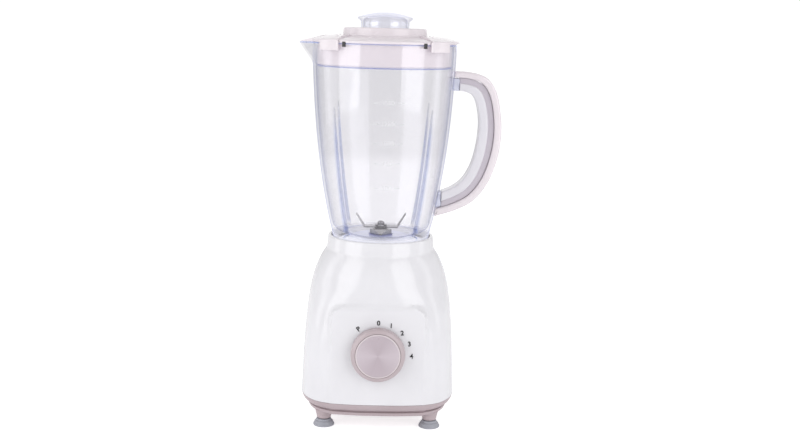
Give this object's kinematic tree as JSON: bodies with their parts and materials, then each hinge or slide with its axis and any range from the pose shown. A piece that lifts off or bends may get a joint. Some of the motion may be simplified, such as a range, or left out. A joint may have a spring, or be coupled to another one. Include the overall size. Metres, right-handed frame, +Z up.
{
  "type": "countertop blender",
  "caption": "Countertop blender: motor base with a front speed knob, clear tapered jug with handle, pouring lip, steel blades, press-in lid and clear filler cap.",
  "frame": {"origin": "middle of the whole object's footprint, at the height the feet stand on; the drive axis stands 16.5 mm to the -X side of it and 2.4 mm to the +Y side", "axes": "+Z up along the drive axis, -Y the front with the speed knob, +X the side of the jug's handle"},
  "size_m": [0.2021, 0.165, 0.4061],
  "materials": {
    "housing_white": "high-gloss moulded ABS",
    "cover_taupe": "satin moulded plastic",
    "foot_rubber": "matt grey rubber",
    "knob_taupe": "satin moulded plastic",
    "knob_disc": "radially brushed, tinted",
    "dark_plastic": "moulded, matt",
    "steel": "ground stainless or zinc-plated steel",
    "lamination": "stacked electrical steel",
    "copper": "enamelled copper wire",
    "carbon": "pressed carbon",
    "brass": "sintered bronze or pressed brass",
    "clear_plastic": "clear polycarbonate with bluish edges",
    "lid_plastic": "satin-gloss moulded plastic, pale pinkish grey",
    "silicone": "translucent silicone",
    "fan_plastic": "moulded nylon"
  },
  "bodies": {
    "base": {"housing": "housing_white", "bottom_cover": "cover_taupe", "foot_front_left": "foot_rubber", "foot_front_right": "foot_rubber", "foot_back_left": "foot_rubber", "foot_back_right": "foot_rubber", "base_screw_1": "steel", "base_screw_2": "steel", "base_screw_3": "steel", "base_screw_4": "steel", "cord_gland": "foot_rubber", "speed_switch": "dark_plastic", "lower_bearing_bracket": "steel", "upper_bearing_bracket": "steel", "lower_bearing": "brass", "upper_bearing": "brass", "stator_core": "lamination", "field_coil_left": "copper", "field_coil_right": "copper", "brush_holder_left": "brass", "brush_holder_right": "brass", "carbon_brush_left": "carbon", "carbon_brush_right": "carbon", "motor_screw_left": "steel", "motor_screw_right": "steel", "motor_damper_left": "dark_plastic", "motor_damper_right": "dark_plastic"},
    "rotor": {"motor_shaft": "steel", "armature_core": "lamination", "lower_armature_winding": "copper", "upper_armature_winding": "copper", "commutator": "copper", "cooling_fan": "fan_plastic", "drive_coupling": "dark_plastic"},
    "dial": {"knob": "knob_taupe", "knob_face": "knob_disc", "switch_stem": "dark_plastic"},
    "jug": {"jar": "clear_plastic", "handle_frame": "clear_plastic", "handle_cover": "lid_plastic", "handle_screw_upper": "steel", "handle_screw_lower": "steel", "blade_holder": "dark_plastic", "blade_bush": "brass", "jar_gasket": "silicone", "lock_nut": "steel"},
    "blades": {"blade_shaft": "steel", "lower_blade": "steel", "upper_blade": "steel", "blade_washer": "steel", "blade_nut": "steel", "driven_coupling": "dark_plastic"},
    "lid": {"lid": "lid_plastic", "lid_gasket": "silicone"},
    "cap": {"filler_cap": "clear_plastic"}
  },
  "joints": [
    {"name": "motor_spin", "type": "hinge", "parent": "base", "child": "rotor", "pos_m": [-0.0165, 0.0024, 0.1], "axis": [0, 0, 1], "continuous": true},
    {"name": "knob_turn", "type": "hinge", "parent": "base", "child": "dial", "pos_m": [-0.0165, -0.0776, 0.081], "axis": [0, -1, 0], "range_deg": [-90, 37]},
    {"name": "jar_lift", "type": "slide", "parent": "base", "child": "jug", "axis": [0, 0, 1], "range_m": [0, 0.09]},
    {"name": "blade_spin", "type": "hinge", "parent": "jug", "child": "blades", "pos_m": [-0.0165, 0.0024, 0.19], "axis": [0, 0, 1], "continuous": true},
    {"name": "lid_lift", "type": "slide", "parent": "jug", "child": "lid", "axis": [0, 0, 1], "range_m": [0, 0.06]},
    {"name": "cap_lift", "type": "slide", "parent": "lid", "child": "cap", "axis": [0, 0, 1], "range_m": [0, 0.04]}
  ],
  "couplings": [
    {"joint": "blade_spin", "follows": "motor_spin", "ratio": 1}
  ]
}
